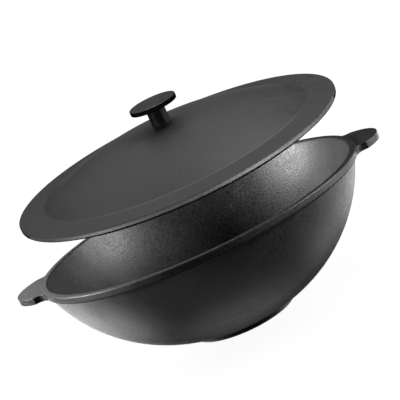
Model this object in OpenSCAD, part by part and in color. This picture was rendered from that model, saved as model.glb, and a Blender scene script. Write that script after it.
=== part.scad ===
// Cast iron wok with two ear handles and a domed lid, shown with the lid lifted off.
// The foot stands on z = 0, the bowl's axis is Z, and the ears lie along X.

/* [Wok] */
// Outer diameter of the rim
rim_d = 360; // [345:5:400]
// Height from the foot to the top of the rim
wok_h = 124; // [114:0.5:136]
// Thickness of the bowl's wall
wall = 5.5; // [4:0.5:7]
// Radius of the outer wall, seen in section
bowl_r = 165; // [157:1:177]
// Thickness of the floor under the flat centre
floor_t = 6.5; // [6.1:0.2:9]

/* [Rim] */
// Height of the rim band
rim_h = 8.6; // [6.6:0.1:11]
// How far the rim stands out from the bowl below it
rim_out = 4.3; // [3.6:0.1:6]
// Radius of the rim's upper outer edge
rim_edge_r = 1; // [0.6:0.2:2]
// Radius of the rim's lower outer edge
rim_under_r = 3.5; // [1.5:0.5:3.5]
// Radius of the rim's inner edge
rim_in_r = 2; // [1:0.5:3]

/* [Foot] */
// Diameter of the foot
foot_d = 116; // [96:1:130]
// How far the foot stands below the lowest point of the bowl's curve
foot_drop = 0.3; // [0.2:0.1:3]

/* [Ears] */
// How far an ear reaches out past the rim
ear_reach = 27.6; // [22:0.2:35]
// Radius of an ear's round end
ear_r = 45; // [42:1:56]
// Width of an ear between its straight sides
ear_w = 75; // [60:1:78]
// Thickness of an ear
ear_t = 7; // [4:0.5:8]
// Step down from the top of the rim to the top of an ear
ear_step = 1.5; // [1.5:0.1:3]
// Radius of the fillet where an ear's side meets the rim
ear_fillet_r = 9; // [4:0.5:12]

/* [Lid] */
// How far the lid's edge lies inside the rim's outer edge
lid_inset = 2; // [1:0.5:4]
// Height of the lid's edge
lid_edge_h = 5.2; // [4.2:0.2:7]
// Radius of the lid's upper edge
lid_edge_r = 1; // [0.4:0.2:1.8]
// Radius of the lid's lower edge
lid_under_r = 1.4; // [0.4:0.2:1.8]
// Width of the brim from the edge to the crease
brim_w = 29.4; // [24:0.2:36]
// Rise of the brim from the edge to the crease
brim_rise = 2.3; // [1:0.1:4]
// Rise of the dome from the crease to its top
dome_rise = 29.3; // [24:0.1:38]
// Thickness of the dome
lid_wall = 4; // [3:0.5:5.5]
// Depth of the locating ring under the brim
ring_h = 3; // [2:0.5:5]
// Width of the locating ring
ring_w = 3; // [2:0.5:5]
// Clearance between the locating ring and the bowl's wall when the lid is on
ring_gap = 1.5; // [1:0.5:4]

/* [Lid off the wok] */
// Height of the lid's underside over the rim, on the lid's axis
lid_lift = 62.9; // [40:0.1:90]
// Shift of the lid along the ears
lid_shift_x = 7; // [-10:0.2:10]
// Shift of the lid to the back
lid_shift_y = 3.6; // [-10:0.2:30]
// Tilt that lifts the lid's back edge
lid_tilt = 5.3; // [0:0.01:8]
// Tilt that lowers the lid's right edge
lid_roll = 0.46; // [-3:0.01:3]

/* [Knob] */
// Diameter of the knob's disc
knob_d = 51; // [40:1:70]
// Thickness of the knob's disc
knob_t = 5.4; // [3:0.1:6]
// Radius of the disc's upper and lower edges
knob_edge_r = 0.8; // [0.4:0.2:1.4]
// Height of the knob over the lid
knob_h = 25.4; // [22:0.1:32]
// Diameter of the knob's stem
stem_d = 20; // [16:0.5:26]
// Radius of the fillet under the disc
stem_fillet_r = 2; // [1:0.5:4]
// Width of the mould line along the stem
seam_w = 1.4; // [0.8:0.2:3]
// How far the mould line stands out from the stem
seam_out = 0.5; // [0.2:0.1:1]
// Turn of the mould line about the stem
seam_turn = -66; // [-90:1:90]

/* [Knob screw] */
// Diameter of the screw's thread
screw_d = 6; // [4:0.5:8]
// Length of thread inside the knob
grip_l = 12; // [8:0.5:13]
// Diameter of the screw's head
head_d = 12; // [10:0.5:15]
// Height of the screw's head
head_h = 3.6; // [3:0.2:5]
// Width of the slot in the screw's head
slot_w = 1.6; // [1:0.2:2.4]
// Depth of the slot in the screw's head
slot_depth = 1.8; // [1:0.1:2.4]
// Diameter of the pad under the lid that the screw's head bears on
pad_d = 26; // [20:1:40]
// Thickness of the lid at that pad
pad_t = 6; // [5:0.5:9]
// Clearance round the screw in the lid
hole_gap = 0.3; // [0.2:0.1:1]
// Clearance round the thread in the knob
thread_gap = 0.05; // [0.05:0.05:0.2]
// Clearance past the screw's tip in the knob
tip_gap = 2; // [1:0.5:3]
// Chamfer at the screw's tip
tip_taper = 1; // [0.4:0.2:1.4]

/* [Hidden] */
$fn = 180;
iron = "#33302e";
steel = "#9a9a98";
// A cut runs this far past the surface that it opens
past = 1;
// A joined shape reaches this far into what it joins
sunk = 4;

rim_r = rim_d / 2;
foot_r = foot_d / 2;
neck_r = rim_r - rim_out;
neck_z = wok_h - rim_h;

// The wall's curve has its lowest point just over the foot and passes through the neck
bowl_z = bowl_r + foot_drop;
bowl_x = neck_r - sqrt(bowl_r * bowl_r - (bowl_z - neck_z) * (bowl_z - neck_z));
inner_r = bowl_r - wall;

// The foot's side runs up into the middle of the wall
foot_top = bowl_z - sqrt(bowl_r * bowl_r - (foot_r - bowl_x) * (foot_r - bowl_x)) + wall / 2;

// Radius of the bowl's inner wall at height z
function inside_at(z) = bowl_x + sqrt(inner_r * inner_r - (bowl_z - z) * (bowl_z - z));

// Centre of the rim's rounded inner edge, which touches both the top and the inner wall
edge_z = wok_h - rim_in_r;
edge_reach = inner_r + rim_in_r;
edge_x = bowl_x + sqrt(edge_reach * edge_reach - (bowl_z - edge_z) * (bowl_z - edge_z));
mouth_r = inside_at(wok_h);

// Where the edge's round leaves the inner wall
leave_x = bowl_x + (edge_x - bowl_x) * inner_r / edge_reach;
leave_z = bowl_z + (edge_z - bowl_z) * inner_r / edge_reach;

ear_top = wok_h - ear_step;
ear_x = rim_r + ear_reach - ear_r;
ear_root = neck_r - wall / 2;
ear_half = ear_w / 2;
fillet_y = ear_half + ear_fillet_r;
fillet_x = sqrt(pow(rim_r + ear_fillet_r, 2) - pow(fillet_y, 2));
fillet_end = fillet_y * rim_r / (rim_r + ear_fillet_r);

lid_r = rim_r - lid_inset;
crease_r = lid_r - brim_w;
crease_z = lid_edge_h + brim_rise;
lid_top = crease_z + dome_rise;
dome_r = (crease_r * crease_r + dome_rise * dome_rise) / (2 * dome_rise);
dome_z = lid_top - dome_r;
ring_r = inside_at(wok_h - ring_h) - ring_gap;
seat_r = stem_d / 2 + 2 * seam_out;
seat_z = dome_z + sqrt(dome_r * dome_r - seat_r * seat_r);
pad_z = seat_z - pad_t;

bore_r = screw_d / 2 + thread_gap;
bore_l = grip_l + tip_gap;

// Wok: half section to the right of the axis, then the ears

module bowl_outside() {
    intersection() {
        translate([bowl_x, bowl_z])
            circle(r = bowl_r);
        square([rim_r, wok_h]);
    }
}

module bowl_inside() {
    intersection() {
        union() {
            translate([bowl_x, bowl_z])
                circle(r = inner_r);
            translate([-past, 0])
                square([bowl_x + past, bowl_z]);
        }
        translate([-past, floor_t])
            square([rim_r, wok_h]);
    }
}

module rim_band() {
    difference() {
        translate([neck_r - sunk / 2, neck_z])
            square([rim_out + sunk / 2, rim_h]);
        rounding(rim_r, wok_h, rim_edge_r, 1, 1);
        rounding(rim_r, neck_z, rim_under_r, 1, -1);
    }
}

// Cuts a square corner at (x, z) to a round of radius r; dx and dz point out of the corner
module rounding(x, z, r, dx, dz) {
    translate([x, z])
        mirror([dx < 0 ? 1 : 0, 0])
            mirror([0, dz < 0 ? 1 : 0])
                difference() {
                    translate([-r, -r])
                        square(r + past);
                    translate([-r, -r])
                        circle(r = r);
                }
}

// Cuts the rim's inner edge to a round that runs into the inner wall
module inner_edge_cut() {
    difference() {
        polygon([
            [bowl_x, leave_z],
            [leave_x, leave_z],
            [edge_x, edge_z],
            [edge_x, wok_h + past],
            [bowl_x, wok_h + past]
        ]);
        translate([edge_x, edge_z])
            circle(r = rim_in_r);
    }
}

module bowl() {
    rotate_extrude()
        difference() {
            union() {
                bowl_outside();
                rim_band();
                square([foot_r, foot_top]);
                // Solid under the floor, inside the curve's lowest point
                square([bowl_x, floor_t + past]);
            }
            bowl_inside();
            inner_edge_cut();
        }
}

module ear_outline() {
    difference() {
        union() {
            intersection() {
                translate([ear_x, 0])
                    circle(r = ear_r);
                translate([0, -ear_half])
                    square([rim_r + ear_reach + past, ear_w]);
            }
            for (side = [0, 1])
                mirror([0, side])
                    difference() {
                        translate([0, ear_half - sunk])
                            square([fillet_x, fillet_end - ear_half + sunk]);
                        translate([fillet_x, fillet_y])
                            circle(r = ear_fillet_r);
                    }
        }
        circle(r = ear_root);
    }
}

module ear() {
    translate([0, 0, ear_top - ear_t])
        linear_extrude(ear_t)
            ear_outline();
}

module wok() {
    color(iron)
        union() {
            bowl();
            for (side = [0, 1])
                mirror([side, 0, 0])
                    ear();
        }
}

// Lid: modelled flat on its own underside, then lifted and tilted

module lid_place() {
    translate([lid_shift_x, lid_shift_y, wok_h + lid_lift])
        rotate([lid_tilt, lid_roll, 0])
            children();
}

module dome_section(r) {
    intersection() {
        translate([0, dome_z])
            circle(r = r);
        square([lid_r, lid_top + past]);
    }
}

module brim_section() {
    difference() {
        polygon([
            [0, 0],
            [lid_r, 0],
            [lid_r, lid_edge_h],
            [crease_r, crease_z],
            [0, crease_z]
        ]);
        rounding(lid_r, lid_edge_h, lid_edge_r, 1, 1);
        rounding(lid_r, 0, lid_under_r, 1, -1);
    }
}

module lid() {
    color(iron)
        lid_place()
            rotate_extrude()
                difference() {
                    union() {
                        difference() {
                            union() {
                                brim_section();
                                intersection() {
                                    dome_section(dome_r);
                                    square([crease_r, lid_top]);
                                }
                            }
                            dome_section(dome_r - lid_wall);
                        }
                        translate([ring_r - ring_w, -ring_h])
                            square([ring_w, ring_h + lid_edge_h / 2]);
                        translate([0, pad_z])
                            square([pad_d / 2, pad_t - past]);
                    }
                    translate([0, seat_z])
                        square([seat_r, lid_top]);
                    translate([0, pad_z - past])
                        square([screw_d / 2 + hole_gap, pad_t + lid_top]);
                }
}

module knob_section() {
    difference() {
        translate([0, knob_h - knob_t])
            square([knob_d / 2, knob_t]);
        rounding(knob_d / 2, knob_h, knob_edge_r, 1, 1);
        rounding(knob_d / 2, knob_h - knob_t, knob_edge_r, 1, -1);
    }
    square([stem_d / 2, knob_h - knob_t / 2]);
    difference() {
        translate([0, knob_h - knob_t - stem_fillet_r])
            square([stem_d / 2 + stem_fillet_r, stem_fillet_r + knob_t / 2]);
        translate([stem_d / 2 + stem_fillet_r, knob_h - knob_t - stem_fillet_r])
            circle(r = stem_fillet_r);
    }
}

module knob() {
    color(iron)
        lid_place()
            translate([0, 0, seat_z])
                difference() {
                    union() {
                        rotate_extrude()
                            knob_section();
                        rotate([0, 0, seam_turn])
                            translate([-stem_d / 2 - seam_out, -seam_w / 2, 0])
                                cube([stem_d + 2 * seam_out, seam_w, knob_h - knob_t / 2]);
                    }
                    translate([0, 0, -past])
                        cylinder(r = bore_r, h = bore_l + past);
                }
}

module knob_screw() {
    color(steel)
        lid_place()
            translate([0, 0, pad_z])
                difference() {
                    rotate_extrude()
                        polygon([
                            [0, -head_h],
                            [head_d / 2, -head_h],
                            [head_d / 2, 0],
                            [screw_d / 2, 0],
                            [screw_d / 2, pad_t + grip_l - tip_taper],
                            [screw_d / 2 - tip_taper, pad_t + grip_l],
                            [0, pad_t + grip_l]
                        ]);
                    translate([-head_d, -slot_w / 2, -head_h - past])
                        cube([2 * head_d, slot_w, slot_depth + past]);
                }
}

wok();
lid();
knob();
knob_screw();
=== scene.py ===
import math

import bpy
from mathutils import Euler, Matrix, Vector


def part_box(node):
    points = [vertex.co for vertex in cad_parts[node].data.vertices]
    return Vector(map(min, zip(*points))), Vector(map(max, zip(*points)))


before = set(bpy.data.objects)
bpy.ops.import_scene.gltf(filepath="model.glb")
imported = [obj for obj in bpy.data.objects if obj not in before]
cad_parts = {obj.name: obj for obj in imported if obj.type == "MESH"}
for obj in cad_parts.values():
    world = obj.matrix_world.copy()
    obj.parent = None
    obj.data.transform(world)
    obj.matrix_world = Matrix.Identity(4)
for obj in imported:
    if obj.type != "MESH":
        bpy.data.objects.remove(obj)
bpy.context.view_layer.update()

# The cast iron wok with its lid lifted off: finishes, light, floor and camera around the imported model.
# Lengths are in metres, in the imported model's own frame.

# Camera, as measured in the photograph: it looks at the centre of the rim's top from a little above
RIM_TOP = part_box("wok")[1].z
CAMERA_DISTANCE = 1.26
CAMERA_ELEVATION = math.radians(12.149)
CAMERA_AZIMUTH = math.radians(0.77)
CAMERA_ROLL = math.radians(-25.38)
FRAME_PX = 400
FOCAL_PX = 1201.03
AIM_PX = (195.80, 211.74)
SENSOR = 0.036

# Soft lights: name, azimuth and elevation in degrees, width and height in metres, power in watts
LIGHT_DISTANCE = 1.6
WOK_LIGHTS = [
    ("wok_left", 267, 15, 0.55, 0.5, 78),
    ("wok_right", 80, 20, 0.75, 0.6, 51),
    ("wok_right_front", 68, 14, 0.6, 0.6, 2.5),
    ("wok_right_low", 98, -16, 0.7, 0.7, 5.8),
    ("wok_back_left", 210, 35, 0.8, 0.8, 9.3),
    ("wok_under_left", 238, -35, 0.8, 0.8, 7.2),
    ("wok_under", 0, -72, 1.0, 1.0, 1.3),
    ("wok_under_back", 180, -75, 1.0, 1.0, 2.8),
    ("wok_under_front_left", 324, -50, 0.8, 0.8, 1.8),
    ("wok_under_right", 120, -40, 0.8, 0.8, 3),
    ("wok_back_right", 140, -18, 0.7, 0.7, 4.6),
    ("wok_back_low", 205, -18, 0.9, 0.7, 5.3),
]
LID_LIGHTS = [
    ("lid_top_right", 100, 60, 1.0, 1.0, 17.5),
    ("lid_top_left", 260, 48, 1.0, 1.0, 8.2),
    ("lid_top_back", 180, 68, 1.4, 1.0, 5.2),
    ("lid_back_high", 180, 40, 1.4, 0.8, 1.7),
    ("lid_front", 22, -14, 0.5, 0.5, 6),
    ("lid_front_right", 42, -14, 0.5, 0.5, 33),
    ("lid_right_front", 62, -14, 0.5, 0.5, 12.7),
    ("lid_right", 82, -14, 0.5, 0.5, 10.5),
    ("lid_front_left", 318, -14, 0.5, 0.5, 4.3),
    ("lid_left_front", 296, -14, 0.5, 0.5, 20.7),
    ("lid_left", 274, -14, 0.5, 0.5, 4.6),
    ("lid_back", 180, -5, 0.8, 0.6, 1.5),
    ("lid_back_right", 120, 5, 0.8, 0.6, 3.6),
    ("lid_back_left", 240, 5, 0.8, 0.6, 1.2),
]
KNOB_LIGHTS = [
    ("knob_top", 0, 82, 1.0, 1.0, 8.7),
    ("knob_high", 5, 62, 1.4, 1.0, 41),
    ("knob_right", 90, 10, 0.35, 0.35, 8.5),
    ("knob_left", 300, 5, 0.35, 0.35, 3.6),
]
# The floor glows a little short of white, and a wide sun that lights nothing else leaves a faint shadow on it
FLOOR_SUN = 0.35
FLOOR_SUN_ANGLE = math.radians(75)
FLOOR_GLOW = 0.94
FLOOR_REACH = 30.0

# The rim band's underside, which gets painted shade, and the lid's crease about the lid's own axis, as in the
# part's source
RIM_RADIUS = 0.18
NECK_RADIUS = 0.1757
NECK_Z = 0.1154
LID_CENTRE = Vector((0.007, 0.0036, 0.1869))
LID_AXIS = Euler((math.radians(5.3), math.radians(0.46), 0)).to_matrix() @ Vector((0, 0, 1))
CREASE_RADIUS = 0.1486
# The side where the painted highlight along the crease shows most, and the highlight's half width
NEAR_SIDE = (0.15, -0.99, 0)
LINE_WIDTH = 0.001

# Direction of the scratched part of the bowl's wall, about the axis from +X
SCRATCH_TURN = math.radians(76)

# Skin of the iron: scales of the 3 mm mottle, the 25 mm clouds, the sand grain of under a millimetre and the
# coarser grit inside the bowl, then their heights, and the radius over which edges round off and wear
MOTTLE_SCALE = 330
CLOUD_SCALE = 38
SAND_SCALE = 1150
GRIT_SCALE = 520
SAND_HEIGHT = 0.00025
GRIT_HEIGHT = 0.0005
SCRATCH_HEIGHT = 0.0008
EDGE_RADIUS = 0.0012


def make_camera():
    elevation, azimuth, roll = CAMERA_ELEVATION, CAMERA_AZIMUTH, CAMERA_ROLL
    back = Vector((
        math.sin(azimuth) * math.cos(elevation),
        -math.cos(azimuth) * math.cos(elevation),
        math.sin(elevation),
    ))
    level = Vector((math.cos(azimuth), math.sin(azimuth), 0))
    upright = back.cross(level)
    right = math.cos(roll) * level + math.sin(roll) * upright
    up = -math.sin(roll) * level + math.cos(roll) * upright
    half = FRAME_PX / 2
    aim = Vector(((AIM_PX[0] - half) / FOCAL_PX, (half - AIM_PX[1]) / FOCAL_PX, -1))
    turn = Vector((0, 0, -1)).rotation_difference(aim).to_matrix()
    place = Matrix((right, up, back)).transposed() @ turn.transposed()
    data = bpy.data.cameras.new("camera")
    data.sensor_width = SENSOR * 1000
    data.lens = FOCAL_PX / FRAME_PX * SENSOR * 1000
    data.clip_start = 0.05
    data.clip_end = 100
    camera = bpy.data.objects.new("camera", data)
    bpy.context.scene.collection.objects.link(camera)
    spot = Vector((0, 0, RIM_TOP)) + back * CAMERA_DISTANCE
    camera.matrix_world = Matrix.Translation(spot) @ place.to_4x4()
    bpy.context.scene.camera = camera


class Nodes:
    """A short way to add shader nodes and join their sockets."""

    def __init__(self, tree):
        self.tree = tree
        tree.nodes.clear()

    def add(self, kind, inputs=None, **settings):
        node = self.tree.nodes.new(kind)
        for name, value in settings.items():
            setattr(node, name, value)
        for name, value in (inputs or {}).items():
            socket = node.inputs[name]
            if isinstance(value, bpy.types.NodeSocket):
                self.tree.links.new(value, socket)
            else:
                socket.default_value = value
        return node

    def math(self, operation, a, b=0.0, clamp=False):
        node = self.add("ShaderNodeMath", {0: a, 1: b}, operation=operation, use_clamp=clamp)
        return node.outputs[0]

    def vector(self, operation, a, b=None):
        node = self.add("ShaderNodeVectorMath", {0: a} if b is None else {0: a, 1: b}, operation=operation)
        return node.outputs["Value" if operation in ("DOT_PRODUCT", "LENGTH") else "Vector"]

    def noise(self, where, scale, detail=2.0, roughness=0.5):
        inputs = {"Vector": where, "Scale": scale, "Detail": detail, "Roughness": roughness}
        return self.add("ShaderNodeTexNoise", inputs).outputs["Fac"]

    def spread(self, value, low, high, to_low=0.0, to_high=1.0):
        inputs = {"Value": value, "From Min": low, "From Max": high, "To Min": to_low, "To Max": to_high}
        return self.add("ShaderNodeMapRange", inputs).outputs["Result"]

    def bump(self, height, strength, distance, normal=None):
        inputs = {"Height": height, "Strength": strength, "Distance": distance}
        if normal is not None:
            inputs["Normal"] = normal
        return self.add("ShaderNodeBump", inputs).outputs[0]

    def mix_colour(self, factor, a, b):
        node = self.add("ShaderNodeMix", data_type="RGBA")
        for socket, value in ((node.inputs[0], factor), (node.inputs[6], a), (node.inputs[7], b)):
            if isinstance(value, bpy.types.NodeSocket):
                self.tree.links.new(value, socket)
            else:
                socket.default_value = value
        return node.outputs[2]

    def surface(self, inputs):
        """Adds the surface shader and joins it to the material's output."""
        shader = self.add("ShaderNodeBsdfPrincipled", inputs)
        self.add("ShaderNodeOutputMaterial", {"Surface": shader.outputs[0]})


def grey(value, warmth=0.0):
    return (value * (1 + warmth), value, value * (1 - warmth), 1)


def start_material(name):
    """A new material, and its nodes."""
    material = bpy.data.materials.new(name)
    material.use_nodes = True
    return material, Nodes(material.node_tree)


def crease_reach(nodes, where):
    """The arm from the lid's centre, and its length square to the lid's axis."""
    arm = nodes.vector("SUBTRACT", where, LID_CENTRE)
    return arm, nodes.vector("LENGTH", nodes.vector("CROSS_PRODUCT", arm, LID_AXIS))


def painted_crease_highlight(nodes, arm, reach):
    """A painted highlight: a thin lighter line along the crease that fades away from the near side."""
    miss = nodes.math("ABSOLUTE", nodes.math("SUBTRACT", reach, CREASE_RADIUS))
    towards = nodes.vector("DOT_PRODUCT", arm, NEAR_SIDE)
    faded = nodes.spread(towards, 0.5 * CREASE_RADIUS, 0.9 * CREASE_RADIUS)
    return nodes.math("MULTIPLY", nodes.spread(miss, LINE_WIDTH, LINE_WIDTH / 2), faded)


def scratched(nodes, where, inside, cloud, skin):
    """Adds scratches up the far wall: fine across the turn, long down the wall, and in patches."""
    place = nodes.add("ShaderNodeSeparateXYZ", {0: where}).outputs
    turn = nodes.math("ARCTAN2", place[1], place[0])
    streaks = nodes.add("ShaderNodeCombineXYZ", {
        0: nodes.math("MULTIPLY", turn, 46.0),
        1: nodes.math("MULTIPLY", place[2], 14.0),
        2: 0.0,
    }).outputs[0]
    lines = nodes.noise(streaks, 3.0, 3, 0.6)
    far = nodes.spread(nodes.math("ABSOLUTE", nodes.math("SUBTRACT", turn, SCRATCH_TURN)), 0.36, 0.14)
    patches = nodes.math("MULTIPLY", nodes.math("MULTIPLY", inside, far), nodes.spread(cloud, 0.4, 0.6))
    return nodes.bump(lines, nodes.math("MULTIPLY", patches, 0.5), SCRATCH_HEIGHT, skin)


def iron_material(name, tone, rough, grain, specular, wear=0.5, hollow=False, crease=False):
    """Seasoned cast iron: mottled satin black with a sandy skin that is rubbed bare along its edges.

    A hollow piece has a coarser skin inside, with faint scratches up its far wall. The lid has a painted
    highlight, a thin lighter line along its crease that is strongest on the near side, and only its outer
    edge is worn.
    """
    material, nodes = start_material(name)
    where = nodes.add("ShaderNodeTexCoord").outputs["Object"]
    mottle = nodes.noise(where, MOTTLE_SCALE, 3, 0.6)
    cloud = nodes.noise(where, CLOUD_SCALE, 3, 0.55)
    sand = nodes.noise(where, SAND_SCALE, 2, 0.6)

    # Edges show where the rounded normal departs from the real one
    rounded = nodes.add("ShaderNodeBevel", {"Radius": EDGE_RADIUS}, samples=6).outputs[0]
    real = nodes.add("ShaderNodeNewGeometry").outputs["Normal"]
    edge = nodes.spread(nodes.vector("DOT_PRODUCT", rounded, real), 0.96, 0.8)
    if crease:
        arm, reach = crease_reach(nodes, where)
        outer = nodes.spread(reach, CREASE_RADIUS + 0.004, CREASE_RADIUS + 0.012)
        edge = nodes.math("MULTIPLY", edge, outer)
    worn = nodes.math("MULTIPLY", edge, nodes.spread(mottle, 0.35, 0.65), clamp=True)

    clouds = nodes.math("MULTIPLY", nodes.spread(cloud, 0.35, 0.7), 0.35)
    base = nodes.mix_colour(nodes.spread(mottle, 0.3, 0.7), grey(tone * 0.6, 0.01), grey(tone * 1.45, 0.012))
    base = nodes.mix_colour(clouds, base, grey(tone * 1.5, 0.02))
    base = nodes.mix_colour(nodes.math("MULTIPLY", worn, wear), base, grey(tone * 2.6, 0.02))
    # Painted highlight: a lighter line along the lid's crease, strongest on the near side
    if crease:
        line = painted_crease_highlight(nodes, arm, reach)
        base = nodes.mix_colour(nodes.math("MULTIPLY", line, 0.85), base, grey(tone * 3.4, 0.02))

    varied = nodes.spread(mottle, 0.3, 0.7, rough - 0.08, rough + 0.08)
    clouded = nodes.math("ADD", varied, nodes.spread(cloud, 0.3, 0.7, -0.04, 0.04))
    final_rough = nodes.math("SUBTRACT", clouded, nodes.math("MULTIPLY", worn, 0.24 * wear), clamp=True)

    strength = grain
    grit = mottle
    if hollow:
        upward = nodes.add("ShaderNodeSeparateXYZ", {0: real}).outputs[2]
        inside = nodes.spread(upward, -0.02, 0.04)
        strength = nodes.math("ADD", grain, nodes.math("MULTIPLY", inside, 0.2 * grain))
        grit = nodes.noise(where, GRIT_SCALE, 2, 0.6)
    skin = nodes.bump(sand, strength, SAND_HEIGHT, rounded)
    skin = nodes.bump(grit, strength, GRIT_HEIGHT, skin)
    if hollow:
        skin = scratched(nodes, where, inside, cloud, skin)

    nodes.surface({
        "Base Color": base,
        "Roughness": final_rough,
        "Normal": skin,
        "Specular IOR Level": specular,
    })
    return material


def painted_shade_material(name, tone, specular):
    """Painted shade: a dull, much darker copy of the iron for the faces under an edge, where shade falls."""
    material, nodes = start_material(name)
    where = nodes.add("ShaderNodeTexCoord").outputs["Object"]
    mottle = nodes.noise(where, MOTTLE_SCALE, 3, 0.6)
    nodes.surface({
        "Base Color": nodes.mix_colour(mottle, grey(tone * 0.7, 0.01), grey(tone * 1.3, 0.01)),
        "Roughness": nodes.spread(mottle, 0.3, 0.7, 0.62, 0.74),
        "Normal": nodes.bump(mottle, 0.3, 0.0006),
        "Specular IOR Level": specular,
    })
    return material


def steel_material():
    """Plain bright screw steel with fine turned rings."""
    material, nodes = start_material("screw_steel_finish")
    where = nodes.add("ShaderNodeTexCoord").outputs["Object"]
    rings = nodes.add("ShaderNodeMapping", {"Vector": where, "Scale": (1, 1, 12)}).outputs[0]
    brushed = nodes.noise(rings, 900)
    nodes.surface({
        "Base Color": nodes.mix_colour(brushed, grey(0.42, 0.01), grey(0.6, 0.01)),
        "Metallic": 1.0,
        "Roughness": nodes.spread(brushed, 0.3, 0.7, 0.26, 0.4),
        "Normal": nodes.bump(brushed, 0.15, 0.0001),
    })
    return material


def dress(node, material, shade=None, shaded=None):
    """Gives a node its material, and a second one, a painted shade, to the faces that shaded(middle, normal)
    picks.
    """
    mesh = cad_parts[node].data
    mesh.materials.clear()
    mesh.materials.append(material)
    if shade:
        mesh.materials.append(shade)
        for face in mesh.polygons:
            face.material_index = int(shaded(face.center, face.normal))


def under_rim(middle, normal):
    """Picks the rim band's underside, which gets painted shade."""
    in_height = NECK_Z - 0.0002 < middle.z < NECK_Z + 0.004
    return normal.z < -0.3 and in_height and NECK_RADIUS < math.hypot(middle.x, middle.y) < RIM_RADIUS


def under_lid(middle, normal):
    """Picks the lid's underside up to the side of its edge, and that side too at the left and right ends, for
    painted shade.
    """
    facing = normal.dot(LID_AXIS)
    at_end = max(0, abs(normal.x) - 0.92)
    return facing < -0.02 + 2 * at_end or (middle - LID_CENTRE).dot(LID_AXIS) < 0


def round_knob():
    """Returns the test that picks the knob's undersides and the side of its disc, for painted shade."""
    spots = [v.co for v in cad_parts["knob"].data.vertices]
    (x0, x1), (y0, y1) = [(min(v[i] for v in spots), max(v[i] for v in spots)) for i in (0, 1)]
    centre_x, centre_y, side = (x0 + x1) / 2, (y0 + y1) / 2, (x1 - x0) / 2 - EDGE_RADIUS

    def picks(middle, normal):
        outside = math.hypot(middle.x - centre_x, middle.y - centre_y) > side
        return normal.z < -0.25 or (normal.z < 0.4 and outside)
    return picks


def make_floor():
    """A plain pale floor under the foot."""
    mesh = bpy.data.meshes.new("floor")
    corners = [(x * FLOOR_REACH, y * FLOOR_REACH, 0) for x, y in ((-1, -1), (1, -1), (1, 1), (-1, 1))]
    mesh.from_pydata(corners, [], [(0, 1, 2, 3)])
    floor = bpy.data.objects.new("floor", mesh)
    bpy.context.scene.collection.objects.link(floor)
    material, nodes = start_material("floor_pale")
    nodes.surface({
        "Base Color": grey(0.9),
        "Roughness": 0.9,
        "Specular IOR Level": 0.0,
        "Emission Color": grey(1.0),
        "Emission Strength": FLOOR_GLOW,
    })
    mesh.materials.append(material)
    floor.visible_diffuse = False
    floor.visible_glossy = False
    return floor


def softbox(name, azimuth, elevation, width, height, power):
    """A rectangular soft light that faces the rim's centre. Azimuth 0 is in front and 90 to the right."""
    data = bpy.data.lights.new(name, "AREA")
    data.shape = "RECTANGLE"
    data.size = width
    data.size_y = height
    data.energy = power
    light = bpy.data.objects.new(name, data)
    bpy.context.scene.collection.objects.link(light)
    a, e = math.radians(azimuth), math.radians(elevation)
    back = Vector((math.sin(a) * math.cos(e), -math.cos(a) * math.cos(e), math.sin(e)))
    light.location = Vector((0, 0, RIM_TOP)) + back * LIGHT_DISTANCE
    light.rotation_mode = "QUATERNION"
    light.rotation_quaternion = back.to_track_quat("Z", "Y")
    light.visible_camera = False
    return light


def make_sun():
    data = bpy.data.lights.new("floor_sun", "SUN")
    data.energy = FLOOR_SUN
    data.angle = FLOOR_SUN_ANGLE
    light = bpy.data.objects.new("floor_sun", data)
    bpy.context.scene.collection.objects.link(light)
    return light


def collect(name, objects):
    group = bpy.data.collections.new(name)
    for o in objects:
        group.objects.link(o)
    return group


def link(light, lit, shading):
    """The light falls on one collection only, and only the other one shades it."""
    light.light_linking.receiver_collection = lit
    if shading:
        light.light_linking.blocker_collection = shading


def make_world():
    world = bpy.data.worlds.new("studio")
    world.use_nodes = True
    nodes = Nodes(world.node_tree)
    shader = nodes.add("ShaderNodeBackground", {"Color": grey(1.0), "Strength": 1.0})
    nodes.add("ShaderNodeOutputWorld", {"Surface": shader.outputs[0]})
    world.cycles_visibility.diffuse = False
    world.cycles_visibility.glossy = False
    bpy.context.scene.world = world


make_camera()
floor = make_floor()
make_world()
bpy.context.scene.view_settings.view_transform = "Standard"

# Each iron part gets painted shade, a much darker copy of its iron, on the faces its pick chooses
dress(
    "wok",
    iron_material("wok_iron_finish", 0.016, 0.42, 0.4, 0.3, hollow=True),
    painted_shade_material("wok_painted_shade", 0.008, 0.12),
    under_rim,
)
dress(
    "lid",
    iron_material("lid_iron_finish", 0.032, 0.46, 0.22, 0.3, wear=0.15, crease=True),
    painted_shade_material("lid_painted_shade", 0.004, 0.0),
    under_lid,
)
dress(
    "knob",
    iron_material("knob_iron_finish", 0.03, 0.44, 0.3, 0.3),
    painted_shade_material("knob_painted_shade", 0.004, 0.0),
    round_knob(),
)
dress("knob_screw", steel_material())

# The wok and the lid were lit apart in the photograph and neither shades the other, so each has its lights
wok_set = collect("lit_wok", [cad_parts["wok"]])
lid_set = collect("lit_lid", [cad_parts["lid"]])
knob_set = collect("lit_knob", [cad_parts[n] for n in ("knob", "knob_screw")])
cover_set = collect("shading_lid", [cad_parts[n] for n in ("lid", "knob", "knob_screw")])
floor_set = collect("lit_floor", [floor])

for table, lit, shading in (
    (WOK_LIGHTS, wok_set, wok_set), (LID_LIGHTS, lid_set, cover_set), (KNOB_LIGHTS, knob_set, cover_set)
):
    for name, azimuth, elevation, width, height, power in table:
        link(softbox(name, azimuth, elevation, width, height, power), lit, shading)
link(make_sun(), floor_set, None)
